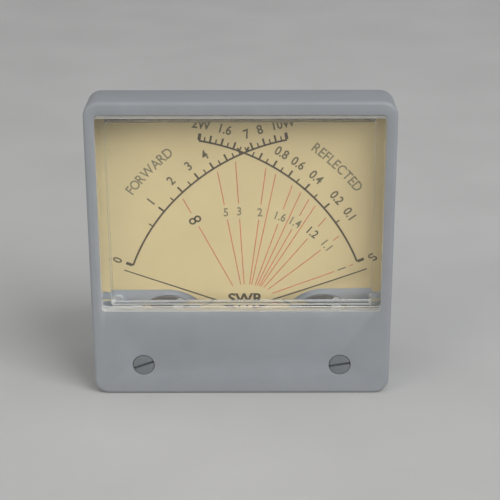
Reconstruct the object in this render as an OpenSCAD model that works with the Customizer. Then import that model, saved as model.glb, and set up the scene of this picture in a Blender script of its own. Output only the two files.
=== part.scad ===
// Panel meter with two crossed needles, one for forward and one for reflected power.
// Z is up, the dial faces -Y, and the origin is the centre of the seat on the panel (Y = 0).
// Angles are counted from +X towards +Z, as the dial is read.

/* [Bezel] */
// Width of the bezel
bezel_w = 80; // [79.5:0.1:84]
// Height of the bezel
bezel_h = 82; // [82:0.1:86]
// Depth from the panel to the face
bezel_d = 12; // [12:0.1:12.4]
// Radius of the outline's corners
bezel_corner_r = 4; // [3:0.5:6]
// Rounding of the front edge
bezel_edge_r = 1; // [0.5:0.1:1.5]
// Thickness of the side walls
bezel_wall = 2.4; // [1.8:0.1:2.4]
// Thickness of the front wall
face_wall = 2; // [1.6:0.1:2]

/* [Window] */
// Width of the window box
window_w = 73.7; // [70:0.1:74]
// Height of the window's top edge
window_top = 37.4; // [34:0.1:37.5]
// Height of the window's bottom edge
window_bottom = -15.5; // [-16:0.1:-14]
// How far the window stands out of the face
window_proud = 2.4; // [1:0.1:3]
// Thickness of the front pane
pane_t = 2; // [1.5:0.1:2.4]
// Thickness of the window's side walls
window_side = 2.4; // [1.2:0.1:3]
// Thickness of the window's top wall and floor
window_floor = 1.4; // [1:0.1:2]
// Rounding of the window's corners
window_r = 0.8; // [0.4:0.1:1.5]

/* [Dial] */
// Offset of the printed scales and movements from the bezel's centre line
dial_x = 0.9; // [0:0.1:1]
// Depth of the dial's front behind the face
dial_depth = 8; // [8:0.1:8.2]
// Thickness of the dial plate
dial_t = 0.5; // [0.4:0.1:0.6]
// Half of the dial plate's width
dial_half_w = 37.2; // [36:0.1:37.3]
// Radius that is cut out of the dial over each movement
dial_cut_r = 12.3; // [11.5:0.1:12.6]

/* [Movements] */
// Half of the distance between the two needle axes
pivot_dx = 21.05; // [20.8:0.05:21.2]
// Height of the needle axes
pivot_z = -24.8; // [-25:0.1:-24.6]
// Outer radius of the yoke ring
yoke_r = 10.5; // [10:0.1:10.6]
// Inner radius of the yoke ring
gap_r = 7.8; // [7.7:0.1:8]
// Radius of the core magnet
core_r = 5.5; // [5:0.1:5.6]
// Length of each needle from its axis to its tip
needle_r = 56.5; // [50:0.5:57]
// Angle of the reflected needle at rest
reflected_rest = 19.05; // [18:0.05:21]
// Angle of the forward needle at rest
forward_rest = 160.25; // [159:0.05:162]

/* [Zero adjusters] */
// Half of the distance between the adjusters
adjuster_dx = 26.53; // [26:0.01:27]
// Height of the adjusters
adjuster_z = -32.4; // [-33:0.1:-32]
// Radius of an adjuster's head
adjuster_head_r = 2.8; // [2.4:0.1:3]
// Offset of the drive pin from the adjuster's axis
eccentricity = 1; // [0.8:0.05:1]
// Play on each side of the pin in the lever's fork
fork_play = 0.12; // [0.1:0.01:0.16]

/* [Rear case] */
// Half of the barrel's width
barrel_half_w = 34.6; // [34.4:0.1:34.8]
// Top of the barrel
barrel_top = 8; // [6:0.5:12]
// Bottom of the barrel
barrel_bottom = -37.8; // [-38:0.1:-37.6]
// Depth of the barrel behind the panel
barrel_d = 20; // [19:0.5:24]
// Radius of the barrel's corners
barrel_r = 12; // [10:0.5:12]
// Thickness of the barrel's walls
case_wall = 1.6; // [1.2:0.1:1.6]
// Thickness of the barrel's back
case_back = 2; // [1.6:0.1:2.4]
// Thickness of the flange inside the bezel
flange_t = 2.3; // [2.2:0.1:2.3]

/* [Fastenings] */
// Radius of the mounting and terminal studs
stud_r = 1.5; // [1.5:0.1:1.5]
// Half of the spacing of the mounting studs, across
stud_dx = 34.5; // [34:0.1:34.5]
// Half of the spacing of the mounting studs, upwards
stud_dz = 35.5; // [35:0.1:35.5]
// Length of the mounting studs behind the panel
stud_length = 14; // [8:1:20]
// Half of the spacing of the terminals, across
terminal_dx = 26; // [24:0.5:28]
// Half of the spacing of the terminals, upwards
terminal_dz = 6; // [5:0.5:6]
// Height of the middle of the terminals
terminal_z = -4; // [-5:0.5:-3]
// Length of the terminals behind the barrel
terminal_length = 11; // [9:0.5:14]

/* [Hidden] */
$fn = 64;
cut = 0.1;
fit = 0.02;
seat_fit = 0.05;
play = 0.1;

// Depths along Y, from the face backwards
face_y = -bezel_d;
inner_y = face_y + face_wall;
pane_front_y = face_y - window_proud;
pane_back_y = pane_front_y + pane_t;
dial_y = face_y + dial_depth;
frame_y = dial_y + dial_t;
flange_y = -flange_t;
bezel_half_inner_w = bezel_w / 2 - bezel_wall;
bezel_half_inner_h = bezel_h / 2 - bezel_wall;
bezel_inner_r = 1;
flange_gap = 0.2;

// Window: a flange is cemented behind the bezel's front wall. The walls and the floor reach back
// towards the dial and stop in front of the needles
window_back_y = -6.3;
window_floor_y = -8.1;
window_foot = 0.3;
lip_t = 0.8;
lip_back_y = inner_y + lip_t;
window_lip = 0.6;
window_lip_bottom = 3.5;
window_lip_top = 1;

// Movement stack along Y
yoke_y = [-4.5, 8];
core_y = [-2, 7];
coil_y = [-2.8, 7.8];
former_t = 0.5;
winding_t = 0.7;
coil_half_inner = 6;
coil_half_w = 2.4;
winding_half_w = 2.2;
former_side_t = 0.4;
clamp_y = [1, 4];
clamp_w = 2.6;
clamp_turn = 31;
base_t = 0.4;
base_l = 5;
base_w = 3;
front_base_y = coil_y[0] - former_t - winding_t;
rear_base_y = coil_y[1] + former_t + winding_t;
hub_y = [-5.9, -5];
blade_y = [-5.9, -5.6];
front_collet_y = [-6.7, -6.1];
front_spring_y = [-6.6, -6.2];
lever_y = [-7.6, -7.3];
front_bridge_y = [-8.5, -7.8];
front_jewel_y = [-9.4, -6.9];
rear_collet_y = [9.9, 10.5];
rear_spring_y = [10, 10.4];
rear_bridge_y = [11.3, 12];
rear_jewel_y = [10.7, 13.4];
pad_t = 0.4;
spindle_r = 0.8;
collet_r = 1;
pivot_r = 0.25;
pivot_reach = 0.6;
jewel_r = 1;
jewel_cup_r = 0.3;
jewel_cup_depth = 0.8;
jewel_nut_r = 2;
jewel_nut_t = 0.6;
hub_r = 1.5;

// The forward needle is cranked forwards, so that it passes in front of the reflected one
crank_from = 9;
crank_to = 11.5;
crank_rise = 1.5;
crank_flat = 1;
blade_w = 0.4;
tip_w = 0.22;
arm_w = 0.5;
tail_r = 6.4;
arm_r = 6.2;
weight_r = 0.6;
weight_l = 1.2;

// Bridges stand on the yoke clear of the needle's sweep and of the zero lever
bridge_w = 4.4;
bridge_reach = 10.3;
leg_from = 8.1;
leg_r = 9.2;
leg_angles = [45, 130];
screw_r = 0.8;
screw_head_r = 1.3;
screw_head_t = 0.6;
slot_w = 0.35;
slot_depth = 0.3;
bridge_screw_l = 6.5;
yoke_screw_r = 9.15;
yoke_screw_angles = [[69, 189, 285], [69, 179, 264]];
yoke_screw_l = 3;

// Hairsprings
spring_t = 0.12;
spring_from = 1.12;
spring_to = 4.3;
spring_turns = 4;
spring_steps = 24;
spring_bore = collet_r + 0.03;
tab_angles = [265, 275];
tab_w = 1;
tab_t = 0.6;
tab_overlap = 0.06;

// Zero levers and adjusters
lever_hub_r = 2.4;
lever_arm_w = 1.8;
fork_w = 3.2;
fork_back = 0.3;
fork_reach = 2.2;
pin_r = 0.5;
lever_bore = jewel_r + 0.08;
fork_root = 1.2;
pin_tip = 0.4;
head_recess = 0.1;
head_play = 0.15;
shank_play = 0.06;
head_t = 1.1;
counterbore_depth = 1.25;
adjuster_shank_r = 1.6;
adjuster_collar_r = 4.2;
adjuster_collar_y = -8.3;
clip_y = [-8.2, -7.9];
clip_r = 2.6;
adjuster_slot_w = 0.7;
adjuster_slot_depth = 0.85;
adjuster_slot_angles = [10, 20];

// Dial plate: its tongue between the movements ends this far above their axes
dial_drop = 5;
dial_gap = 0.4;
dial_corner_r = 0.5;
frame_corner_r = 2;

// Movement frame and its screws
frame_top = -2;
frame_half_w = 37.2;
frame_bottom = -37.6;
frame_back_y = flange_y;
frame_screw_dx = 34.4;
frame_screw_z = -15.5;
frame_screw_r = 0.95;
frame_screw_head_r = 1.4;
frame_screw_head_t = 0.8;
frame_screw_l = 2.6;
frame_screw_turn = 35;
frame_screw_run = 1;
dial_post_x = 20;
dial_post_z = 30;
dial_post_r = 2;

// Centre screw that holds bezel, frame and case together
post_z = -31;
post_r = 4.6;
case_screw_r = 1.5;
case_screw_head_r = 2.8;
case_screw_head_y = [14, 16];
case_boss_r = 3;
case_boss_y = -3.6;
case_screw_tip_y = -9;
counterbore_r = 3.1;

// Tongues on the flange that enter the top wall of the bezel
tongue_dx = 18;
tongue_w = 8;
tongue_h = 1;
tongue_root = 1;
tongue_y = [-1.9, -0.7];

// Studs and terminals
stud_head_r = 2.6;
stud_head_t = 0.9;
stud_collar_r = 1.9;
terminal_head_t = 1.5;
terminal_head_r = 2.9;
terminal_base_r = 1.75;
washer_t = 0.5;
washer_r = 3.5;
lug_t = 0.5;
lug_r = 3.3;
lug_tail_w = 2.6;
lug_tail = 9;
lug_eye_r = 0.7;
lug_lean = 25;
nut_r = 3.46;
nut_t = 2.4;
lug_y = barrel_d + washer_t;
nut_y = lug_y + lug_t;

// Lead wires: the ends rest on the rear bridges and on the yokes' rear faces
wire_r = 0.4;
wire_gap = 0.05;
yoke_joint_y = yoke_y[1] + wire_r + wire_gap;
bridge_joint_y = rear_bridge_y[1] + wire_r + wire_gap;
wire_start_y = barrel_d - case_back - terminal_head_t - wire_r - wire_gap;
bridge_joint_r = 5.5;
yoke_joint_r = 9.3;
wire_dip = 1;
bend_dx = 5;
bend_dz = 10;
long_bend_dx = [4, 2, 1];
long_bend_dz = 11;
wire_lift = 2;

// Sides: 0 is the forward movement on the right, 1 the reflected movement on the left
sides = [0, 1];
hand = [1, -1];
rest_angles = [forward_rest, reflected_rest];
function pivot_x(side) = dial_x + hand[side] * pivot_dx;
function lever_dx(side) = hand[side] * adjuster_dx - pivot_x(side);
function lever_dz() = adjuster_z - pivot_z;
function lever_angle(side) = atan2(lever_dz(), lever_dx(side));
function lever_length(side) = norm([lever_dx(side), lever_dz()]);
function spiral(t, grow) =
    let(r = spring_from + (spring_to - spring_from) * t + grow, a = 360 * spring_turns * t)
    [r * cos(a), r * sin(a)];

bezel_colour = [0.52, 0.54, 0.56];
dial_colour = [0.82, 0.76, 0.55];
steel_colour = [0.66, 0.68, 0.7];
brass_colour = [0.78, 0.62, 0.32];
dark_colour = [0.16, 0.17, 0.19];
copper_colour = [0.62, 0.3, 0.16];
needle_colour = [0.12, 0.12, 0.09];
window_colour = [0.9, 0.93, 0.95, 0.35];
tin_colour = [0.8, 0.8, 0.76];
wire_colour = [0.5, 0.08, 0.06];
magnet_colour = [0.35, 0.35, 0.36];
pad_colour = [0.45, 0.25, 0.12];
former_colour = [0.7, 0.7, 0.72];

// Gives a flat outline depth from y0 to y1
module slab(y0, y1) translate([0, y1, 0]) rotate([90, 0, 0]) linear_extrude(y1 - y0) children();

// Round bar along Y
module rod(r, y0, y1) translate([0, y1, 0]) rotate([90, 0, 0]) cylinder(r = r, h = y1 - y0);

// Turns about Y, from +X towards +Z
module turned(a) rotate([0, -a, 0]) children();

module at(x, z) translate([x, 0, z]) children();

module at_pivot(side) at(pivot_x(side), pivot_z) children();

module rounded_rect(w, h, r) {
    square([w - 2 * r, h], center = true);
    square([w, h - 2 * r], center = true);
    for (sx = hand, sz = hand) translate([sx * (w / 2 - r), sz * (h / 2 - r)]) circle(r);
}

// Rectangle given by its left, bottom, right and top, with round corners
module panel(x0, z0, x1, z1, r) translate([(x0 + x1) / 2, (z0 + z1) / 2]) rounded_rect(x1 - x0, z1 - z0, r);

module four(dx, dz) for (sx = hand, sz = hand) at(sx * dx, sz * dz) children();

// Slotted cylinder-head screw along Y: the head's outer face is at y0 and the shank goes towards dir
module slotted_screw(head_r, head_t, shank_r, shank_l, dir) difference() {
    union() {
        rod(head_r, min(0, dir * head_t), max(0, dir * head_t));
        rod(shank_r, min(0, dir * (head_t + shank_l)), max(0, dir * (head_t + shank_l)));
    }
    cube([2 * head_r + cut, 2 * slot_depth, slot_w], center = true);
}

// Bezel block with a round front edge, all from true surfaces
module bezel_block() {
    r = bezel_edge_r;
    y = face_y + r;
    slab(y, 0) rounded_rect(bezel_w, bezel_h, bezel_corner_r);
    slab(face_y, 0) rounded_rect(bezel_w - 2 * r, bezel_h - 2 * r, bezel_corner_r - r);
    for (s = hand) {
        translate([0, y, s * (bezel_h / 2 - r)]) rotate([0, 90, 0])
            cylinder(r = r, h = bezel_w - 2 * bezel_corner_r, center = true);
        translate([s * (bezel_w / 2 - r), y, 0])
            cylinder(r = r, h = bezel_h - 2 * bezel_corner_r, center = true);
    }
    four(bezel_w / 2 - bezel_corner_r, bezel_h / 2 - bezel_corner_r) translate([0, y, 0]) rotate([90, 0, 0])
        rotate_extrude() translate([bezel_corner_r - r, 0]) circle(r, $fn = 32);
}

module window_outline(grow) panel(-window_w / 2 - grow, window_bottom - grow, window_w / 2 + grow,
    window_top + grow, window_r);

module bezel() color(bezel_colour) difference() {
    union() {
        difference() {
            bezel_block();
            slab(inner_y, cut) rounded_rect(2 * bezel_half_inner_w, 2 * bezel_half_inner_h, bezel_inner_r);
        }
        at(dial_x, post_z) rod(case_boss_r, inner_y - cut, case_boss_y);
        for (s = hand) at(s * adjuster_dx, adjuster_z)
            rod(adjuster_collar_r, inner_y - cut, adjuster_collar_y);
    }
    slab(face_y - cut, inner_y + cut) window_outline(play);
    for (s = hand) at(s * adjuster_dx, adjuster_z) {
        rod(adjuster_head_r + head_play, face_y - cut, face_y + counterbore_depth);
        rod(adjuster_shank_r + shank_play, face_y - cut, adjuster_collar_y + cut);
    }
    at(dial_x, post_z) rod(case_screw_r + fit, case_screw_tip_y - play, case_boss_y + cut);
    for (s = hand)
        translate([s * tongue_dx - tongue_w / 2 - play, tongue_y[0] - play, bezel_half_inner_h - cut])
            cube([tongue_w + 2 * play, tongue_y[1] - tongue_y[0] + 2 * play, tongue_h + play + cut]);
}

module window() color(window_colour) difference() {
    union() {
        slab(pane_front_y, window_back_y) window_outline(0);
        slab(inner_y + fit, lip_back_y) panel(-window_w / 2 - window_lip,
            window_bottom - window_lip_bottom, window_w / 2 + window_lip,
            window_top + window_lip_top, window_r);
    }
    slab(pane_back_y, window_back_y + cut) panel(-window_w / 2 + window_side, window_bottom + window_floor,
        window_w / 2 - window_side, window_top - window_floor, window_r);
    translate([-window_w, window_floor_y, window_bottom - cut])
        cube([2 * window_w, dial_y - window_floor_y, cut + window_floor + window_foot]);
}

module dial_plate() color(dial_colour) slab(dial_y, frame_y) difference() {
    panel(-dial_half_w, pivot_z + dial_drop, dial_half_w, bezel_half_inner_h - dial_gap, dial_corner_r);
    for (s = hand) {
        translate([dial_x + s * pivot_dx, pivot_z]) circle(dial_cut_r);
        translate([dial_x + s * (pivot_dx + dial_half_w / 2), pivot_z])
            square([dial_half_w, 2 * dial_cut_r], center = true);
    }
}

module movement_frame() color(steel_colour) slab(frame_y, frame_back_y) difference() {
    panel(-frame_half_w, frame_bottom, frame_half_w, frame_top, frame_corner_r);
    for (side = sides) translate([pivot_x(side), pivot_z]) circle(yoke_r + fit);
    for (s = hand) {
        translate([dial_x + s * frame_screw_dx, frame_screw_z]) circle(frame_screw_r + fit);
        translate([s * stud_dx, -stud_dz]) circle(stud_head_r + play);
    }
    translate([dial_x, post_z]) circle(case_screw_r + play);
}

module frame_screws() color(steel_colour) for (s = hand)
    at(dial_x + s * frame_screw_dx, frame_screw_z) translate([0, frame_y - frame_screw_head_t, 0])
        turned(frame_screw_turn * s)
        slotted_screw(frame_screw_head_r, frame_screw_head_t, frame_screw_r, frame_screw_l, 1);

module barrel_outline(inset) panel(-barrel_half_w + inset, barrel_bottom + inset, barrel_half_w - inset,
    barrel_top - inset, barrel_r - inset);

module case_shell() difference() {
    union() {
        slab(flange_y, 0) rounded_rect(2 * (bezel_half_inner_w - flange_gap),
            2 * (bezel_half_inner_h - flange_gap), bezel_inner_r);
        for (s = hand)
            translate([s * tongue_dx - tongue_w / 2, tongue_y[0], bezel_half_inner_h - tongue_root])
                cube([tongue_w, tongue_y[1] - tongue_y[0], tongue_h + tongue_root - flange_gap]);
        difference() {
            slab(-cut, barrel_d) barrel_outline(0);
            slab(-2 * cut, barrel_d - case_back) barrel_outline(case_wall);
        }
        for (s = hand) at(s * dial_post_x, dial_post_z) rod(dial_post_r, frame_y, flange_y + cut);
    }
    slab(flange_y - cut, cut) barrel_outline(case_wall);
    four(stud_dx, stud_dz) {
        rod(stud_collar_r + fit, flange_y - cut, cut);
        rod(stud_head_r + seat_fit, flange_y - cut, flange_y + stud_head_t);
    }
    for (s = hand) at(dial_x + s * frame_screw_dx, frame_screw_z)
        rod(frame_screw_r + fit, flange_y - cut, flange_y + frame_screw_l - frame_screw_run);
    terminals() rod(terminal_base_r + fit, barrel_d - case_back - cut, barrel_d + cut);
    at(dial_x, post_z) rod(counterbore_r, case_screw_head_y[0], barrel_d + cut);
}

// Post inside the case that carries the movement frame and takes the centre screw
module case_post() at(dial_x, post_z) difference() {
    rod(post_r, frame_back_y, barrel_d - case_back);
    rod(case_screw_r + play, frame_back_y - cut, barrel_d);
    rod(counterbore_r, case_screw_head_y[0], barrel_d);
}

module rear_case() color(dark_colour) {
    case_shell();
    case_post();
}

module case_screw() color(steel_colour) at(dial_x, post_z) translate([0, case_screw_head_y[1], 0])
    slotted_screw(case_screw_head_r, case_screw_head_y[1] - case_screw_head_y[0], case_screw_r,
        case_screw_head_y[0] - case_screw_tip_y, -1);

module mounting_studs() color(steel_colour) four(stud_dx, stud_dz) {
    rod(stud_head_r, flange_y, flange_y + stud_head_t);
    rod(stud_collar_r, flange_y, 0);
    rod(stud_r, flange_y, stud_length);
}

module terminals() at(0, terminal_z) four(terminal_dx, terminal_dz) children();

module terminal_studs() color(brass_colour) terminals() {
    rod(terminal_head_r, barrel_d - case_back - terminal_head_t, barrel_d - case_back);
    rod(terminal_base_r, barrel_d - case_back - terminal_head_t, nut_y + nut_t);
    rod(stud_r, barrel_d - case_back - terminal_head_t, barrel_d + terminal_length);
}

module terminal_washers() color(steel_colour) terminals() difference() {
    rod(washer_r, barrel_d, barrel_d + washer_t);
    rod(terminal_base_r + fit, barrel_d - cut, barrel_d + washer_t + cut);
}

module solder_lugs() color(tin_colour) at(0, terminal_z) for (sx = hand, sz = hand)
    at(sx * terminal_dx, sz * terminal_dz) turned(sz * 90 - sx * lug_lean) slab(lug_y, nut_y) difference() {
        union() {
            circle(lug_r);
            translate([0, -lug_tail_w / 2]) square([lug_tail, lug_tail_w]);
            translate([lug_tail, 0]) circle(lug_tail_w / 2);
        }
        circle(terminal_base_r + fit);
        translate([lug_tail, 0]) circle(lug_eye_r);
    }

module terminal_nuts() color(steel_colour) terminals() difference() {
    translate([0, nut_y + nut_t, 0]) rotate([90, 0, 0]) cylinder(r = nut_r, h = nut_t, $fn = 6);
    rod(terminal_base_r + fit, nut_y - cut, nut_y + nut_t + cut);
}

// Straight piece of wire between two points, with a ball at its start
module wire_run(a, b) {
    d = b - a;
    translate(a) {
        sphere(wire_r, $fn = 24);
        rotate([0, acos(d[2] / norm(d)), atan2(d[1], d[0])]) cylinder(r = wire_r, h = norm(d), $fn = 24);
    }
}

module wire(points) for (i = [1 : len(points) - 1]) wire_run(points[i - 1], points[i]);

// One lead to each rear bridge and one to each yoke
module lead_wires() color(wire_colour) for (side = sides) {
    s = hand[side];
    x = pivot_x(side);
    a = leg_angles[side];
    wire([[s * terminal_dx, wire_start_y, terminal_z - terminal_dz],
        [x + s * bend_dx, wire_start_y - wire_dip, pivot_z + bend_dz],
        [x + bridge_joint_r * cos(a), bridge_joint_y, pivot_z + bridge_joint_r * sin(a)]]);
    wire([[s * terminal_dx, wire_start_y, terminal_z + terminal_dz],
        [x - s * long_bend_dx[0], wire_start_y - wire_dip, terminal_z],
        [x - s * long_bend_dx[1], yoke_joint_y + wire_lift, pivot_z + long_bend_dz],
        [x - s * long_bend_dx[2], yoke_joint_y, pivot_z + yoke_joint_r]]);
}

module yoke(side) color(dark_colour) at_pivot(side) difference() {
    rod(yoke_r, yoke_y[0], yoke_y[1]);
    rod(gap_r, yoke_y[0] - cut, yoke_y[1] + cut);
    for (a = [0, 180]) turned(leg_angles[side] + a) at(leg_r, 0)
        rod(screw_r + fit, yoke_y[0] - cut, yoke_y[1] + cut);
    for (a = yoke_screw_angles[side]) turned(a) at(yoke_screw_r, 0)
        rod(screw_r + fit, yoke_y[0] - cut, yoke_y[0] + yoke_screw_l);
}

module yoke_screws() color(steel_colour) for (side = sides) at_pivot(side)
    for (a = yoke_screw_angles[side]) turned(a) translate([yoke_screw_r, yoke_y[0] - screw_head_t, 0])
        slotted_screw(screw_head_r, screw_head_t, screw_r, yoke_screw_l - play, 1);

module magnet(side) color(magnet_colour) at_pivot(side) rod(core_r, core_y[0], core_y[1]);

// Brass tabs that hold the magnet in the yoke, clear of the coil's sweep
module magnet_clamp(side) color(brass_colour) at_pivot(side)
    turned(rest_angles[side] - hand[side] * clamp_turn) slab(clamp_y[0], clamp_y[1]) intersection() {
        difference() {
            circle(gap_r - fit);
            circle(core_r + fit);
        }
        square([2 * gap_r, clamp_w], center = true);
    }

module bridge_plan(side) rotate(leg_angles[side]) intersection() {
    circle(bridge_reach);
    square([2 * bridge_reach, bridge_w], center = true);
}

module bridge_feet(side) difference() {
    bridge_plan(side);
    circle(leg_from);
}

module bridge_holes(side, y0, y1) {
    rod(jewel_r + fit, y0, y1);
    for (a = [0, 180]) turned(leg_angles[side] + a) at(leg_r, 0) rod(screw_r + seat_fit, y0, y1);
}

module front_bridge(side) color(brass_colour) at_pivot(side) difference() {
    union() {
        slab(front_bridge_y[0], front_bridge_y[1]) bridge_plan(side);
        slab(front_bridge_y[0], yoke_y[0]) bridge_feet(side);
    }
    bridge_holes(side, front_bridge_y[0] - cut, yoke_y[0] + cut);
}

module rear_bridge(side) color(brass_colour) at_pivot(side) difference() {
    union() {
        slab(rear_bridge_y[0], rear_bridge_y[1]) bridge_plan(side);
        slab(yoke_y[1] + pad_t, rear_bridge_y[1]) bridge_feet(side);
        turned(leg_angles[side]) translate([spring_to - tab_overlap, rear_spring_y[0], -tab_w / 2])
            cube([tab_t, rear_bridge_y[0] - rear_spring_y[0] + cut, tab_w]);
    }
    bridge_holes(side, yoke_y[1], rear_bridge_y[1] + cut);
}

module insulating_pads() color(pad_colour) for (side = sides) at_pivot(side) difference() {
    slab(yoke_y[1], yoke_y[1] + pad_t) bridge_feet(side);
    bridge_holes(side, yoke_y[1] - cut, yoke_y[1] + pad_t + cut);
}

module bridge_screws() color(steel_colour) for (side = sides) at_pivot(side)
    for (a = [0, 180]) turned(leg_angles[side] + a) at(leg_r, 0) {
        translate([0, front_bridge_y[0] - screw_head_t, 0])
            slotted_screw(screw_head_r, screw_head_t, screw_r, bridge_screw_l, 1);
        translate([0, rear_bridge_y[1] + screw_head_t, 0])
            slotted_screw(screw_head_r, screw_head_t, screw_r, bridge_screw_l, -1);
    }

module jewel_screws() color(brass_colour) for (side = sides) at_pivot(side) {
    difference() {
        rod(jewel_r, front_jewel_y[0], front_jewel_y[1]);
        rod(jewel_cup_r, front_jewel_y[1] - jewel_cup_depth, front_jewel_y[1] + cut);
        translate([0, front_jewel_y[0], 0]) cube([3 * jewel_r, 2 * slot_depth, slot_w], center = true);
    }
    difference() {
        rod(jewel_r, rear_jewel_y[0], rear_jewel_y[1]);
        rod(jewel_cup_r, rear_jewel_y[0] - cut, rear_jewel_y[0] + jewel_cup_depth);
        translate([0, rear_jewel_y[1], 0]) cube([3 * jewel_r, 2 * slot_depth, slot_w], center = true);
    }
}

module jewel_nut(y) difference() {
    translate([0, y + jewel_nut_t, 0]) rotate([90, 0, 0]) cylinder(r = jewel_nut_r, h = jewel_nut_t, $fn = 6);
    rod(jewel_r + fit, y - cut, y + jewel_nut_t + cut);
}

module jewel_nuts() color(steel_colour) for (side = sides) at_pivot(side) {
    jewel_nut(front_bridge_y[0] - jewel_nut_t);
    jewel_nut(rear_bridge_y[1]);
}

// Rectangular loop around the magnet, turned square to the needle
module coil_loop(side, inset, t_end, t_side, half_w) at_pivot(side) turned(rest_angles[side] + 90)
difference() {
    y0 = coil_y[0] - inset;
    y1 = coil_y[1] + inset;
    u = coil_half_inner + (inset > 0 ? former_side_t : 0);
    translate([-u - t_side, y0 - t_end, -half_w]) cube([2 * (u + t_side), y1 - y0 + 2 * t_end, 2 * half_w]);
    translate([-u, y0, -half_w - cut]) cube([2 * u, y1 - y0, 2 * (half_w + cut)]);
}

module coil_former(side) color(former_colour)
    coil_loop(side, 0, former_t, former_side_t, coil_half_w);

module coil_winding(side) color(copper_colour)
    coil_loop(side, former_t, winding_t, winding_t, winding_half_w);

module pivots(side) color(steel_colour) at_pivot(side) turned(rest_angles[side] + 90) {
    translate([-base_l / 2, front_base_y - base_t, -base_w / 2]) cube([base_l, base_t, base_w]);
    rod(spindle_r, front_collet_y[0], front_base_y - base_t + cut);
    rod(collet_r, front_collet_y[0], front_collet_y[1]);
    rod(pivot_r, front_jewel_y[1] - pivot_reach, front_collet_y[0] + cut);
    translate([-base_l / 2, rear_base_y, -base_w / 2]) cube([base_l, base_t, base_w]);
    rod(spindle_r, rear_base_y + base_t - cut, rear_collet_y[1]);
    rod(collet_r, rear_collet_y[0], rear_collet_y[1]);
    rod(pivot_r, rear_collet_y[1] - cut, rear_jewel_y[0] + pivot_reach);
}

// Side view of the inner part of a needle: radius across, Y upwards
module blade_side(rise) polygon([[spindle_r + fit, blade_y[1]], [spindle_r + fit, blade_y[0]],
    [crank_from, blade_y[0]], [crank_to, blade_y[0] - rise], [crank_to + crank_flat, blade_y[0] - rise],
    [crank_to + crank_flat, blade_y[1] - rise], [crank_to, blade_y[1] - rise], [crank_from, blade_y[1]]]);

module needle(side) color(needle_colour) at_pivot(side) turned(rest_angles[side]) {
    rise = side == 0 ? crank_rise : 0;
    difference() {
        union() {
            rod(hub_r, hub_y[0], hub_y[1]);
            translate([-tail_r, blade_y[0], -arm_w / 2]) cube([tail_r, blade_y[1] - blade_y[0], arm_w]);
            translate([-arm_w / 2, blade_y[0], -arm_r]) cube([arm_w, blade_y[1] - blade_y[0], 2 * arm_r]);
        }
        rod(spindle_r + fit, hub_y[0] - cut, hub_y[1] + cut);
    }
    translate([0, 0, -blade_w / 2]) linear_extrude(blade_w) blade_side(rise);
    slab(blade_y[0] - rise, blade_y[1] - rise) polygon([[crank_to, blade_w / 2], [crank_to, -blade_w / 2],
        [needle_r, -tip_w / 2], [needle_r, tip_w / 2]]);
}

module balance_weight(r) difference() {
    translate([-r, (blade_y[0] + blade_y[1]) / 2, 0]) rotate([0, 90, 0])
        cylinder(r = weight_r, h = weight_l, $fn = 32);
    translate([-r - cut, blade_y[0], -arm_w / 2]) cube([weight_l + 2 * cut, blade_y[1] - blade_y[0], arm_w]);
}

module balance_weights(side) color(copper_colour) at_pivot(side) turned(rest_angles[side]) {
    balance_weight(tail_r);
    for (s = hand) turned(90 * s) balance_weight(arm_r);
}

// Flat spiral whose inner end joins a ring around the collet
module hairspring(y) color(brass_colour) {
    n = spring_turns * spring_steps;
    inside = [for (i = [0 : n]) spiral(i / n, -spring_t / 2)];
    outside = [for (i = [n : -1 : 0]) spiral(i / n, spring_t / 2)];
    slab(y[0], y[1]) polygon(concat(inside, outside));
    difference() {
        rod(spring_bore + spring_t, y[0], y[1]);
        rod(spring_bore, y[0] - cut, y[1] + cut);
    }
}

module front_hairspring(side) at_pivot(side) turned(tab_angles[side]) hairspring(front_spring_y);

module rear_hairspring(side) at_pivot(side) turned(leg_angles[side]) hairspring(rear_spring_y);

module zero_lever(side) color(brass_colour) at_pivot(side) {
    reach = lever_length(side);
    slab(lever_y[0], lever_y[1]) difference() {
        rotate(lever_angle(side)) union() {
            circle(lever_hub_r);
            translate([0, -lever_arm_w / 2]) square([reach, lever_arm_w]);
            translate([reach - fork_root, -fork_w / 2]) square([fork_root + fork_reach, fork_w]);
            rotate(tab_angles[side] - lever_angle(side)) translate([0, -tab_w / 2])
                square([spring_to + tab_t, tab_w]);
        }
        circle(lever_bore);
        rotate(lever_angle(side)) translate([reach - fork_back, -pin_r - fork_play])
            square([fork_back + fork_reach + cut, 2 * (pin_r + fork_play)]);
    }
    turned(tab_angles[side]) translate([spring_to - tab_overlap, lever_y[1] - cut, -tab_w / 2])
        cube([tab_t, front_spring_y[1] - lever_y[1] + cut, tab_w]);
}

module zero_adjuster(side) color(bezel_colour) at(hand[side] * adjuster_dx, adjuster_z) {
    front = face_y + head_recess;
    difference() {
        union() {
            rod(adjuster_head_r, front, front + head_t);
            rod(adjuster_shank_r, front, clip_y[1]);
        }
        turned(adjuster_slot_angles[side]) translate([0, front, 0])
            cube([3 * adjuster_head_r, 2 * adjuster_slot_depth, adjuster_slot_w], center = true);
    }
    turned(lever_angle(side)) at(eccentricity, 0) rod(pin_r, clip_y[1] - cut, lever_y[1] + pin_tip);
}

module adjuster_clip(side) color(steel_colour) at(hand[side] * adjuster_dx, adjuster_z) difference() {
    rod(clip_r, clip_y[0], clip_y[1]);
    rod(adjuster_shank_r + fit, clip_y[0] - cut, clip_y[1] + cut);
}

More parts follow.
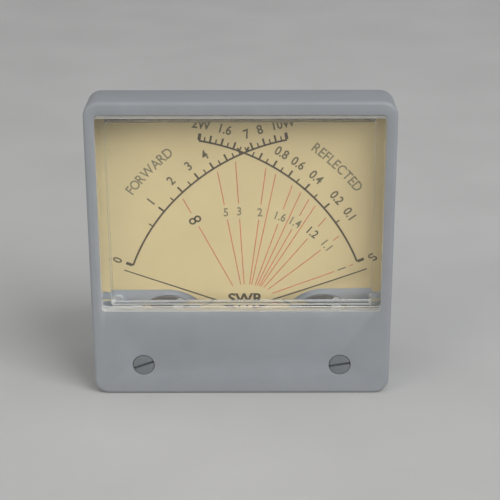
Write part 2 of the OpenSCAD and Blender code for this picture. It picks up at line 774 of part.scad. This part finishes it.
bezel();
window();
dial_plate();
movement_frame();
frame_screws();
rear_case();
case_screw();
mounting_studs();
terminal_studs();
terminal_washers();
terminal_nuts();
solder_lugs();
lead_wires();
yoke(0);  // forward_yoke
magnet(0);  // forward_magnet
magnet_clamp(0);  // forward_magnet_clamp
front_bridge(0);  // forward_front_bridge
rear_bridge(0);  // forward_rear_bridge
coil_former(0);  // forward_coil_former
coil_winding(0);  // forward_coil_winding
pivots(0);  // forward_pivots
needle(0);  // forward_needle
balance_weights(0);  // forward_balance_weights
front_hairspring(0);  // forward_front_hairspring
rear_hairspring(0);  // forward_rear_hairspring
zero_lever(0);  // forward_zero_lever
zero_adjuster(0);  // forward_zero_adjuster
adjuster_clip(0);  // forward_adjuster_clip
yoke(1);  // reflected_yoke
magnet(1);  // reflected_magnet
magnet_clamp(1);  // reflected_magnet_clamp
front_bridge(1);  // reflected_front_bridge
rear_bridge(1);  // reflected_rear_bridge
coil_former(1);  // reflected_coil_former
coil_winding(1);  // reflected_coil_winding
pivots(1);  // reflected_pivots
needle(1);  // reflected_needle
balance_weights(1);  // reflected_balance_weights
front_hairspring(1);  // reflected_front_hairspring
rear_hairspring(1);  // reflected_rear_hairspring
zero_lever(1);  // reflected_zero_lever
zero_adjuster(1);  // reflected_zero_adjuster
adjuster_clip(1);  // reflected_adjuster_clip
jewel_screws();
jewel_nuts();
bridge_screws();
yoke_screws();
insulating_pads();
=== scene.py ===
import math

import bmesh
import bpy
from mathutils import Matrix, Vector


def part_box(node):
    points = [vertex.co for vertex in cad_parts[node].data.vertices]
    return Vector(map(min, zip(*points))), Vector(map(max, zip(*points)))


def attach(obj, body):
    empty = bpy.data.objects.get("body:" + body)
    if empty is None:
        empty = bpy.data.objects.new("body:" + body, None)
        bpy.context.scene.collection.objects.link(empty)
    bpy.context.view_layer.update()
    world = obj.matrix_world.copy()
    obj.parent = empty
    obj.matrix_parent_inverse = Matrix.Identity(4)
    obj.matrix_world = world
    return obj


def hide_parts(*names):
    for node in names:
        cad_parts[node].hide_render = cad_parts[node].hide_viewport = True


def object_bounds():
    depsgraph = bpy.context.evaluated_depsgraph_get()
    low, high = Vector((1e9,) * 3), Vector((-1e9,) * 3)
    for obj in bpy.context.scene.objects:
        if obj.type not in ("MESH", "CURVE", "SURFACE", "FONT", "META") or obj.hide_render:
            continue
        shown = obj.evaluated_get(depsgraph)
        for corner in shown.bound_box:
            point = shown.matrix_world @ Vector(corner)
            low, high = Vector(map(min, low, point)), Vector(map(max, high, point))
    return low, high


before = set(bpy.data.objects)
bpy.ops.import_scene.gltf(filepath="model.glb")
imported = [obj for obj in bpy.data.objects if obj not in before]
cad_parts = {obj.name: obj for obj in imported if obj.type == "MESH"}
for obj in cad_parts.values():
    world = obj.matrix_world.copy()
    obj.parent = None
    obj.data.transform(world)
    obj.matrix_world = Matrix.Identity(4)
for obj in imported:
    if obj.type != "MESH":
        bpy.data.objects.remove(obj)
cad_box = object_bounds()

MM = 0.001
scene = bpy.context.scene


# ---------------------------------------------------------------- camera

def make_camera():
    """Looks slightly down on the face, as in the photograph."""
    data = bpy.data.cameras.new("camera")
    data.sensor_width = 36
    data.lens = 100.8
    data.clip_start = 0.01
    place = Vector((3.145, -353.55, 134.886)) * MM
    aim = Vector((2.346, -12.0, 1.037)) * MM
    roll = math.radians(-0.136)
    forward = (aim - place).normalized()
    level = forward.cross(Vector((0, 0, 1))).normalized()
    right = level * math.cos(roll) + level.cross(forward) * math.sin(roll)
    up = right.cross(forward)
    turn = Matrix((right, up, -forward)).transposed()
    camera = bpy.data.objects.new("camera", data)
    camera.matrix_world = Matrix.Translation(place) @ turn.to_4x4()
    scene.collection.objects.link(camera)
    scene.camera = camera


make_camera()


# ---------------------------------------------------------------- finishes

def srgb(red, green, blue):
    """Linear colour from 0 to 255 display values."""
    def linear(value):
        value /= 255
        return value / 12.92 if value <= 0.04045 else ((value + 0.055) / 1.055) ** 2.4
    return tuple(linear(v) for v in (red, green, blue))


def shade(colour, factor):
    return tuple(min(1.0, c * factor) for c in colour) + (1.0,)


def finish(name, colour, roughness, metallic=0.0, mottle=0.05, mottle_size=4.0, uneven=0.05,
           relief=0.01, relief_size=0.3, stretch=(1, 1, 1), **constants):
    """Procedural finish. The colour varies by mottle and the roughness by uneven over mottle_size, and a
    bump of relief has grains of relief_size. Sizes are in mm. Stretch draws the grain out along an axis."""
    material = bpy.data.materials.new(name)
    material.use_nodes = True
    nodes, link = material.node_tree.nodes, material.node_tree.links.new
    shader = nodes["Principled BSDF"]
    shader.inputs["Metallic"].default_value = metallic
    for socket, value in constants.items():
        shader.inputs[socket.replace("_", " ")].default_value = value
    where = nodes.new("ShaderNodeTexCoord")
    mapping = nodes.new("ShaderNodeMapping")
    mapping.inputs["Scale"].default_value = [1 / MM / s for s in stretch]
    link(where.outputs["Object"], mapping.inputs["Vector"])

    broad = nodes.new("ShaderNodeTexNoise")
    broad.inputs["Scale"].default_value = 1 / mottle_size
    broad.inputs["Detail"].default_value = 5
    link(mapping.outputs["Vector"], broad.inputs["Vector"])
    ramp = nodes.new("ShaderNodeValToRGB")
    ramp.color_ramp.elements[0].position = 0.3
    ramp.color_ramp.elements[0].color = shade(colour, 1 - mottle)
    ramp.color_ramp.elements[1].position = 0.7
    ramp.color_ramp.elements[1].color = shade(colour, 1 + mottle)
    link(broad.outputs["Fac"], ramp.inputs["Fac"])
    link(ramp.outputs["Color"], shader.inputs["Base Color"])
    rough = nodes.new("ShaderNodeMapRange")
    rough.inputs["From Min"].default_value = 0.3
    rough.inputs["From Max"].default_value = 0.7
    rough.inputs["To Min"].default_value = max(0.02, roughness - uneven)
    rough.inputs["To Max"].default_value = min(1.0, roughness + uneven)
    link(broad.outputs["Fac"], rough.inputs["Value"])
    link(rough.outputs["Result"], shader.inputs["Roughness"])

    fine = nodes.new("ShaderNodeTexNoise")
    fine.inputs["Scale"].default_value = 1 / relief_size
    fine.inputs["Detail"].default_value = 3
    link(mapping.outputs["Vector"], fine.inputs["Vector"])
    bump = nodes.new("ShaderNodeBump")
    bump.inputs["Distance"].default_value = relief * MM
    link(fine.outputs["Fac"], bump.inputs["Height"])
    link(bump.outputs["Normal"], shader.inputs["Normal"])
    return material


def ribbed(material, axis, pitch, depth):
    """Adds fine parallel ribs, such as turns of wire, that follow each other along axis."""
    nodes, link = material.node_tree.nodes, material.node_tree.links.new
    bump = next(n for n in nodes if n.type == "BUMP")
    where = next(n for n in nodes if n.type == "TEX_COORD")
    along = nodes.new("ShaderNodeVectorMath")
    along.operation = "DOT_PRODUCT"
    along.inputs[1].default_value = axis
    link(where.outputs["Object"], along.inputs[0])
    phase = nodes.new("ShaderNodeMath")
    phase.operation = "MULTIPLY"
    phase.inputs[1].default_value = 2 * math.pi / (pitch * MM)
    link(along.outputs["Value"], phase.inputs[0])
    wave = nodes.new("ShaderNodeMath")
    wave.operation = "SINE"
    link(phase.outputs["Value"], wave.inputs[0])
    link(wave.outputs["Value"], bump.inputs["Height"])
    bump.inputs["Distance"].default_value = depth * MM
    return material


grey_plastic = finish("grey_plastic", srgb(155, 158, 162), 0.42, mottle=0.03, mottle_size=7, relief=0.006,
                      relief_size=0.25)
adjuster_grey = finish("adjuster_grey", srgb(121, 125, 127), 0.48, mottle=0.05, mottle_size=2, relief=0.005,
                       relief_size=0.2)
black_plastic = finish("black_plastic", srgb(34, 35, 37), 0.38, mottle=0.1, mottle_size=9, relief=0.012,
                       relief_size=0.3)
clear_acrylic = finish("clear_acrylic", (0.985, 0.99, 0.985), 0.03, mottle=0.004, mottle_size=12,
                       uneven=0.012, relief=0.0006, relief_size=6, Transmission_Weight=1.0, IOR=1.49)
frosted_edge = finish("frosted_edge", (0.96, 0.965, 0.955), 0.5, mottle=0.01, mottle_size=5, relief=0.01,
                      relief_size=0.3, Transmission_Weight=0.75, IOR=1.49)
dial_paint = finish("dial_paint", srgb(217, 198, 149), 0.55, mottle=0.025, mottle_size=11, relief=0.004,
                    relief_size=0.2)
dial_ink = finish("dial_ink", srgb(82, 71, 53), 0.6, mottle=0.25, mottle_size=0.8, relief=0.004,
                  relief_size=0.15)
figure_ink = finish("figure_ink", srgb(106, 96, 72), 0.6, mottle=0.22, mottle_size=0.8, relief=0.004,
                    relief_size=0.15)
grey_ink = finish("grey_ink", srgb(130, 122, 94), 0.6, mottle=0.2, mottle_size=0.8, relief=0.004,
                  relief_size=0.15)
red_ink = finish("red_ink", srgb(206, 112, 84), 0.6, mottle=0.18, mottle_size=1.2, relief=0.004,
                 relief_size=0.15)
frame_alloy = finish("frame_alloy", srgb(194, 199, 206), 0.42, metallic=0.6, mottle=0.05, mottle_size=1.4,
                     uneven=0.09, relief=0.004, relief_size=0.12, stretch=(14, 1, 1))
bright_steel = finish("bright_steel", srgb(196, 198, 200), 0.24, metallic=1.0, mottle=0.07, mottle_size=1.0,
                      uneven=0.08, relief=0.003, relief_size=0.1)
# Painted glint: the frame and yoke screws get a paler base colour than bare steel and are only partly
# metallic, so they show bright in place of their glints.
plated_steel_painted_glint = finish("plated_steel_painted_glint", srgb(226, 228, 226), 0.38, metallic=0.6, mottle=0.05, mottle_size=0.8,
                      uneven=0.06, relief=0.004, relief_size=0.12)
brass = finish("brass", srgb(196, 160, 92), 0.3, metallic=1.0, mottle=0.12, mottle_size=1.2, uneven=0.08,
               relief=0.004, relief_size=0.12)
spring_bronze = finish("spring_bronze", srgb(190, 140, 84), 0.28, metallic=1.0, mottle=0.1, mottle_size=0.8,
                       relief=0.001, relief_size=0.1)
tinned_metal = finish("tinned_metal", srgb(190, 190, 184), 0.36, metallic=1.0, mottle=0.12, mottle_size=1.6,
                      uneven=0.1, relief=0.01, relief_size=0.5)
red_insulation = finish("red_insulation", srgb(150, 24, 18), 0.4, mottle=0.06, mottle_size=2, relief=0.004,
                        relief_size=0.2)
yoke_iron = finish("yoke_iron", srgb(150, 146, 140), 0.4, metallic=0.8, mottle=0.16, mottle_size=1.1,
                   uneven=0.1, relief=0.006, relief_size=0.15)
magnet_alloy = finish("magnet_alloy", srgb(96, 95, 98), 0.5, metallic=1.0, mottle=0.14, mottle_size=0.6,
                      relief=0.012, relief_size=0.2)
coil_aluminium = finish("coil_aluminium", srgb(188, 189, 192), 0.34, metallic=1.0, mottle=0.06,
                        mottle_size=1.2, relief=0.003, relief_size=0.15)
needle_black = finish("needle_black", srgb(70, 64, 48), 0.45, mottle=0.12, mottle_size=1.5, relief=0.002,
                      relief_size=0.1)
brown_fibre = finish("brown_fibre", srgb(112, 66, 40), 0.7, mottle=0.2, mottle_size=0.5, relief=0.01,
                     relief_size=0.12)


# ---------------------------------------------------------------- helpers for meshes

SAME_POINT = 0.0005 * MM
FLAT_ANGLE = math.radians(0.2)      # faces that turn less than this are one flat face
SHARP_ANGLE = math.radians(30)      # edges that turn more than this are rounded


def middle(node):
    low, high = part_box(node)
    return (low + high) / 2


def add_piece(name, mesh, material, body="root"):
    """A new visible piece that rides on a body."""
    piece = bpy.data.objects.new(name, mesh)
    mesh.materials.clear()
    mesh.materials.append(material)
    scene.collection.objects.link(piece)
    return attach(piece, body)


def cleaned(node):
    """A working copy of a CAD node's mesh with its doubled points merged."""
    shape = bmesh.new()
    shape.from_mesh(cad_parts[node].data)
    bmesh.ops.remove_doubles(shape, verts=shape.verts, dist=SAME_POINT)
    return shape


def moulded(node, name, width, material, body="root"):
    """A copy of a CAD node with its sharp edges rounded to width, which stands for the node."""
    shape = cleaned(node)
    bmesh.ops.dissolve_limit(shape, angle_limit=FLAT_ANGLE, verts=shape.verts, edges=shape.edges)
    for face in shape.faces:
        face.smooth = True
    mesh = bpy.data.meshes.new(name)
    shape.to_mesh(mesh)
    shape.free()
    piece = add_piece(name, mesh, material, body)
    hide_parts(node)
    edge = piece.modifiers.new("edge", "BEVEL")
    edge.width = width * MM
    edge.segments = 3
    edge.limit_method = "ANGLE"
    edge.angle_limit = SHARP_ANGLE
    edge.harden_normals = True
    return piece


# ---------------------------------------------------------------- case, window and adjusters

FROST_BELOW = -14.5 * MM      # the window's downward faces under this height are frosted
LEAN = 0.1                    # least part of a normal that makes a face lean that way
FRONTAL = 0.3                 # from this part of a normal along Y, a face counts as facing front or back


def frost_edges(window):
    """Frosts the window's upper, lower and corner faces, which lie against the bezel."""
    window.data.materials.append(frosted_edge)
    for face in window.data.polygons:
        below = face.center.z < FROST_BELOW and face.normal.z < -LEAN
        above = face.center.z > 0 and face.normal.z > LEAN
        corner = abs(face.normal.x) > LEAN and abs(face.normal.z) > LEAN
        if abs(face.normal.y) < FRONTAL and (below or above or corner):
            face.material_index = 1


moulded("bezel", "bezel_moulding", 0.18, grey_plastic)
window = moulded("window", "window_moulding", 0.22, clear_acrylic)
window.visible_shadow = False       # light has to reach the dial through it
frost_edges(window)
for side in ("forward", "reflected"):
    moulded(f"{side}_zero_adjuster", f"{side}_adjuster_screw", 0.12, adjuster_grey,
            body=f"{side}_adjuster")
moulded("rear_case", "rear_case_moulding", 0.3, black_plastic)

for node, material in {
    "dial_plate": dial_paint, "movement_frame": frame_alloy, "frame_screws": plated_steel_painted_glint,
    "case_screw": bright_steel,
    "terminal_washers": bright_steel, "terminal_nuts": bright_steel, "solder_lugs": tinned_metal,
    "lead_wires": red_insulation, "jewel_screws": brass, "jewel_nuts": bright_steel,
    "bridge_screws": bright_steel, "yoke_screws": plated_steel_painted_glint, "insulating_pads": brown_fibre,
}.items():
    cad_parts[node].data.materials.clear()
    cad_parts[node].data.materials.append(material)
PER_SIDE = {
    "yoke": yoke_iron, "magnet": magnet_alloy, "magnet_clamp": brass, "front_bridge": brass,
    "rear_bridge": brass, "coil_former": coil_aluminium, "pivots": bright_steel, "needle": needle_black,
    "balance_weights": spring_bronze, "front_hairspring": spring_bronze, "rear_hairspring": spring_bronze,
    "zero_lever": brass, "adjuster_clip": bright_steel,
}
for side in ("forward", "reflected"):
    along_needle = (middle(f"{side}_needle") - middle(f"{side}_magnet")) * Vector((1, 0, 1))
    winding = finish(f"{side}_copper_wire", srgb(168, 92, 50), 0.3, metallic=0.9, mottle=0.1, mottle_size=0.7,
                     relief_size=0.1)
    ribbed(winding, along_needle.normalized(), 0.16, 0.03)
    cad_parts[f"{side}_coil_winding"].data.materials.clear()
    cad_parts[f"{side}_coil_winding"].data.materials.append(winding)
    for part, material in PER_SIDE.items():
        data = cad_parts[f"{side}_{part}"].data
        data.materials.clear()
        data.materials.append(material)


# ---------------------------------------------------------------- threads on the studs

THREAD_PITCH = 0.6 * MM
THREAD_DEPTH = 0.22 * MM
THREAD_CHAMFER = 0.4 * MM
THREAD_SIDES = 36
THREAD_STEPS = 6            # rows of points in each turn
END_FACE = 0.01 * MM        # points this near the rear end belong to an end face
STUD_APART = 5 * MM         # points further apart than this belong to different studs
MOUNTING_THREAD_FROM = 0.3
TERMINAL_THREAD_FROM = 23.6


def threaded(node, name, material, start):
    """The studs of a CAD node with a cut thread from start, in mm along Y, to their rear ends."""
    shape = cleaned(node)
    rear = max(v.co.y for v in shape.verts)
    tips = [v for v in shape.verts if v.co.y > rear - END_FACE]
    groups = []
    for tip in tips:
        near = next((g for g in groups if abs(g[0].co.x - tip.co.x) < STUD_APART
                     and abs(g[0].co.z - tip.co.z) < STUD_APART), None)
        if near:
            near.append(tip)
        else:
            groups.append([tip])
    for group in groups:
        xs, zs = [v.co.x for v in group], [v.co.z for v in group]
        centre = ((min(xs) + max(xs)) / 2, (min(zs) + max(zs)) / 2)
        radius = (max(xs) - min(xs)) / 2
        add_thread(shape, centre, radius, start * MM, rear)
        for vert in group:
            vert.co.y = start * MM
    mesh = bpy.data.meshes.new(name)
    shape.to_mesh(mesh)
    shape.free()
    piece = add_piece(name, mesh, material)
    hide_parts(node)


def add_thread(shape, centre, radius, start, end):
    """One thread as a closed solid whose radius follows a helix, with a chamfer at the end."""
    rows = round((end - start) / THREAD_PITCH * THREAD_STEPS)
    rings = []
    for row in range(rows + 1):
        y = start + (end - start) * row / rows
        ring = []
        for k in range(THREAD_SIDES):
            turn = k / THREAD_SIDES
            phase = (y / THREAD_PITCH - turn) % 1
            r = radius - THREAD_DEPTH * (1 - abs(2 * phase - 1))
            r = min(r, radius - max(0, y - end + THREAD_CHAMFER))
            a = 2 * math.pi * turn
            ring.append(shape.verts.new((centre[0] + r * math.cos(a), y, centre[1] + r * math.sin(a))))
        rings.append(ring)
    for a, b in zip(rings, rings[1:]):
        for k in range(THREAD_SIDES):
            following = (k + 1) % THREAD_SIDES
            shape.faces.new((a[k], a[following], b[following], b[k]))
    shape.faces.new(rings[0])
    shape.faces.new(rings[-1])
    bmesh.ops.recalc_face_normals(shape, faces=shape.faces)


threaded("mounting_studs", "threaded_mounting_studs", bright_steel, MOUNTING_THREAD_FROM)
threaded("terminal_studs", "threaded_terminal_studs", brass, TERMINAL_THREAD_FROM)


# ---------------------------------------------------------------- printing on the dial

dial_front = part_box("dial_plate")[0].y / MM
pivots = {side: middle(f"{side}_magnet") / MM for side in ("forward", "reflected")}
PRINT_CENTRE = (pivots["forward"].x + pivots["reflected"].x) / 2
INK = 0.02                # thickness of the ink
ARC = 54.6                # radius of the scale arcs
ARC_WIDTH = 0.5
ARC_STEPS = 90
DIVISIONS = 20            # ticks along each scale, of which every second one is long
END_TICK, LONG_TICK, SHORT_TICK = (1.95, 0.8), (1.9, 0.5), (1.25, 0.36)      # reach beyond the arc, and width
TICK_RING = ARC + 0.2
LIFT = 0.002              # the reflected scale lies this much over the forward one where they cross
FIGURE_RING, FIGURE_HEIGHT, FIGURE_WEIGHT = ARC + 4.4, 2.5, 0.02
LEGEND_RING, LEGEND_HEIGHT, LEGEND_WEIGHT, LEGEND_GAP = ARC + 10.4, 2.6, 0.012, 0.12
SCALES = {
    "forward": {"mirror": 1, "zero": 159.2, "span": 58.75, "full": 10,
                "figures": ["0", "1", "2", "3", "4", "7", "8", "10W"]},
    "reflected": {"mirror": -1, "zero": 158.6, "span": 58.6, "full": 2,
                  "figures": ["0", "0.1", "0.2", "0.4", "0.6", "0.8", "1.6", "2W"]},
}


def polar(side, radius, angle):
    """Point on the dial at radius and angle about a movement's axis. The reflected side is mirrored."""
    axis, mirror = pivots[side], SCALES[side]["mirror"]
    a = math.radians(angle)
    return Vector((axis.x + mirror * radius * math.cos(a), axis.z + radius * math.sin(a)))


def glyph_mesh(text, weight):
    """Letters as a solid mesh, one unit high, one unit thick and centred, with their width."""
    curve = bpy.data.curves.new("glyph", "FONT")
    curve.body = text
    curve.size = 1
    curve.extrude = 0.5
    curve.offset = weight
    curve.resolution_u = 5
    holder = bpy.data.objects.new("glyph", curve)
    scene.collection.objects.link(holder)
    bpy.context.view_layer.update()
    mesh = bpy.data.meshes.new_from_object(holder.evaluated_get(bpy.context.evaluated_depsgraph_get()))
    bpy.data.objects.remove(holder)
    bpy.data.curves.remove(curve)
    xs = [v.co.x for v in mesh.vertices]
    ys = [v.co.y for v in mesh.vertices]
    height = max(ys) - min(ys)
    mesh.transform(Matrix.Translation((-(min(xs) + max(xs)) / 2, -(min(ys) + max(ys)) / 2, 0)))
    mesh.transform(Matrix.Diagonal((1 / height, 1 / height, 1, 1)))
    return mesh, (max(xs) - min(xs)) / height


class Print:
    """One colour of ink, gathered as thin solid strokes. Places are in mm, across and up."""

    def __init__(self, lift=0.0):
        self.shape = bmesh.new()
        self.front = dial_front - INK - lift
        self.back = dial_front + INK / 2

    def stroke(self, path, width):
        """A line of even width through the points of path."""
        path = [Vector(p) for p in path]
        rings = []
        for i, point in enumerate(path):
            along = (path[min(i + 1, len(path) - 1)] - path[max(i - 1, 0)]).normalized()
            side = Vector((-along.y, along.x)) * width / 2
            rings.append([self.shape.verts.new((p.x * MM, y * MM, p.y * MM)) for p, y in (
                (point - side, self.front), (point + side, self.front),
                (point + side, self.back), (point - side, self.back))])
        for a, b in zip(rings, rings[1:]):
            for k in range(4):
                self.shape.faces.new((a[k], a[(k + 1) % 4], b[(k + 1) % 4], b[k]))
        self.shape.faces.new(rings[0][::-1])
        self.shape.faces.new(rings[-1])

    def letters(self, text, height, centre, angle=0.0, narrow=0.9, weight=0.0, glyph=None):
        """Letters around centre, turned anticlockwise by angle. narrow scales their width."""
        mesh = glyph or glyph_mesh(text, weight)[0]
        turn = Matrix.Rotation(-math.radians(angle), 4, "Y")
        stand = Matrix(((height * narrow, 0, 0, 0), (0, 0, -(self.back - self.front), 0),
                        (0, height, 0, 0), (0, 0, 0, 1)))
        place = Matrix.Translation((centre[0], (self.front + self.back) / 2, centre[1]))
        mesh.transform(Matrix.Scale(MM, 4) @ place @ turn @ stand)
        self.shape.from_mesh(mesh)
        bpy.data.meshes.remove(mesh)

    def arc_letters(self, text, height, side, radius, first, last, narrow=0.9, weight=0.0, gap=0.3):
        """Letters that follow a circle about a movement's axis, from angle first to angle last."""
        glyphs = [glyph_mesh(letter, weight) for letter in text]
        total = sum(width for mesh, width in glyphs) + gap * (len(text) - 1)
        passed = 0.0
        for mesh, width in glyphs:
            share = (passed + width / 2) / total
            passed += width + gap
            angle = first + (last - first) * share
            mirror = SCALES[side]["mirror"]
            lean = angle - 90 if mirror > 0 else 90 - angle
            self.letters("", height, polar(side, radius, angle), lean, narrow, glyph=mesh)

    def piece(self, name, material):
        """Ends the print and makes it one visible piece."""
        bmesh.ops.recalc_face_normals(self.shape, faces=self.shape.faces)
        mesh = bpy.data.meshes.new(name)
        self.shape.to_mesh(mesh)
        self.shape.free()
        return add_piece(name, mesh, material)


def value_angle(side, value):
    scale = SCALES[side]
    return scale["zero"] - scale["span"] * math.sqrt(value / scale["full"])


def print_scale(side):
    scale = SCALES[side]
    ink = Print(lift=LIFT if side == "reflected" else 0.0)
    sweep = [scale["zero"] - scale["span"] * i / ARC_STEPS for i in range(ARC_STEPS + 1)]
    ink.stroke([polar(side, ARC, a) for a in sweep], ARC_WIDTH)
    for i in range(DIVISIONS + 1):
        angle = value_angle(side, scale["full"] * i / DIVISIONS)
        reach, width = END_TICK if i in (0, DIVISIONS) else LONG_TICK if i % 2 == 0 else SHORT_TICK
        ink.stroke([polar(side, TICK_RING, angle), polar(side, ARC + reach, angle)], width)
    ink.piece(f"{side}_scale", dial_ink)

    figures = Print()
    for text in scale["figures"]:
        angle = value_angle(side, float(text.rstrip("W")))
        lean = (angle - 90) * scale["mirror"]
        figures.letters(text, FIGURE_HEIGHT, polar(side, FIGURE_RING, angle), lean, weight=FIGURE_WEIGHT)
    figures.piece(f"{side}_figures", figure_ink)


print_scale("forward")
print_scale("reflected")

legend = Print()
legend.arc_letters("FORWARD", LEGEND_HEIGHT, "forward", LEGEND_RING, 142, 128, gap=LEGEND_GAP,
                   weight=LEGEND_WEIGHT)
legend.arc_letters("REFLECTED", LEGEND_HEIGHT, "reflected", LEGEND_RING, 127, 142, gap=LEGEND_GAP,
                   weight=LEGEND_WEIGHT)
legend.piece("scale_legends", grey_ink)


# Lines of constant standing wave ratio, from infinity down to 1: the heading of each in degrees, and its
# figure. They start on an oval around the title, each where the oval's own angle is the line's heading.
SWR_LINES = [(117, "inf"), (100, "5"), (93, "3"), (82, "2"), (78, ""), (70.5, "1.6"), (66, ""), (61.5, "1.4"),
             (57.5, ""), (50, "1.2"), (38.5, "1.1"), (20.5, "1")]
OVAL_HALF_WIDTH, OVAL_HALF_HEIGHT, OVAL_RISE = 7.6, 4.2, -15.3
FIGURE_AT, FIGURE_SLOPE, FIGURE_GAP = 19.6, 0.0145, 2.1
LOOP_RADIUS, LOOP_SPACING, LOOP_WIDTH, LOOP_SIDES = 0.72, 0.76, 0.46, 24
RATIO_LINE_WIDTH, RATIO_FIGURE_HEIGHT, RATIO_FIGURE_WEIGHT = 0.24, 2.3, 0.014
TITLE_HEIGHT, TITLE_RISE, TITLE_WIDTH, TITLE_WEIGHT = 3.0, -15.2, 1.12, 0.03
LINE_END, LINE_STEP = ARC - 1.3, 0.1


def line_length(start, along):
    """How far a line runs before it would touch a scale."""
    length = 0.0
    while max((start + along * length - Vector((p.x, p.z))).length for p in pivots.values()) < LINE_END:
        length += LINE_STEP
    return length


lines, figures, firm_figures = Print(), Print(), Print()
for heading, text in SWR_LINES:
    along = Vector((math.cos(math.radians(heading)), math.sin(math.radians(heading))))
    start = Vector((PRINT_CENTRE + OVAL_HALF_WIDTH * along.x, OVAL_RISE + OVAL_HALF_HEIGHT * along.y))
    ring = FIGURE_AT + FIGURE_SLOPE * heading
    spot = start + along * ring
    lean = 0.0 if text in ("5", "3", "2") else heading - 90
    reach = line_length(start, along)
    spans = [(0, ring - FIGURE_GAP), (ring + FIGURE_GAP, reach)] if text else [(0, reach)]
    for low, high in spans:
        lines.stroke([start + along * low, start + along * high], RATIO_LINE_WIDTH)
    if text == "inf":
        side = Vector((math.cos(math.radians(lean)), math.sin(math.radians(lean))))
        for hand in (-1, 1):
            centre = spot + side * LOOP_SPACING * hand
            loop = [centre + Vector((math.cos(a), math.sin(a))) * LOOP_RADIUS
                    for a in (2 * math.pi * k / LOOP_SIDES for k in range(LOOP_SIDES + 1))]
            firm_figures.stroke(loop, LOOP_WIDTH)
    elif text:
        inked = firm_figures if text == "1.2" else figures
        inked.letters(text, RATIO_FIGURE_HEIGHT, spot, lean, weight=RATIO_FIGURE_WEIGHT)
lines.piece("swr_lines", red_ink)
figures.piece("swr_figures", grey_ink)
firm_figures.piece("swr_firm_figures", dial_ink)
title = Print()
title.letters("SWR", TITLE_HEIGHT, (PRINT_CENTRE, TITLE_RISE), narrow=TITLE_WIDTH, weight=TITLE_WEIGHT)
title.piece("swr_title", dial_ink)


# ---------------------------------------------------------------- stage and light

def make_floor():
    """Pale floor that curves up into a backdrop far behind the object."""
    low = cad_box[0][2]
    front, depth, rise, radius, half, steps = -2.5, 1.6, 1.6, 0.6, 3.0, 12
    profile = [(front, low), (depth - radius, low)]
    for k in range(1, steps + 1):
        a = math.pi / 2 * k / steps
        profile.append((depth - radius + radius * math.sin(a), low + radius * (1 - math.cos(a))))
    profile.append((depth, low + rise))
    shape = bmesh.new()
    rows = [[shape.verts.new((x, y, z)) for x in (-half, half)] for y, z in profile]
    for a, b in zip(rows, rows[1:]):
        shape.faces.new((a[0], a[1], b[1], b[0]))
    for face in shape.faces:
        face.smooth = True
    mesh = bpy.data.meshes.new("floor")
    shape.to_mesh(mesh)
    shape.free()
    mesh.materials.append(finish("floor_stone", srgb(202, 200, 197), 0.6, mottle=0.035, mottle_size=45,
                                 relief=0.01, relief_size=2))
    floor = bpy.data.objects.new("floor", mesh)
    scene.collection.objects.link(floor)


def soft_light(name, place, aim, size, power, colour=(1, 1, 1)):
    data = bpy.data.lights.new(name, "AREA")
    data.shape = "SQUARE"
    data.size = size
    data.energy = power
    data.color = colour
    lamp = bpy.data.objects.new(name, data)
    lamp.location = place
    lamp.rotation_euler = (Vector(aim) - Vector(place)).to_track_quat("-Z", "Y").to_euler()
    scene.collection.objects.link(lamp)


make_floor()
world = bpy.data.worlds.new("studio")
world.use_nodes = True
world.node_tree.nodes["Background"].inputs["Color"].default_value = (0.92, 0.96, 1.0, 1.0)
world.node_tree.nodes["Background"].inputs["Strength"].default_value = 0.45
scene.world = world
soft_light("key", (0.75, -0.85, 1.1), (0, 0, 0), 0.9, 12.6, (0.96, 0.98, 1.0))
soft_light("fill", (-0.9, -0.8, 0.5), (0, 0, 0), 0.8, 2.6, (1.0, 0.92, 0.84))
scene.view_settings.view_transform = "Standard"
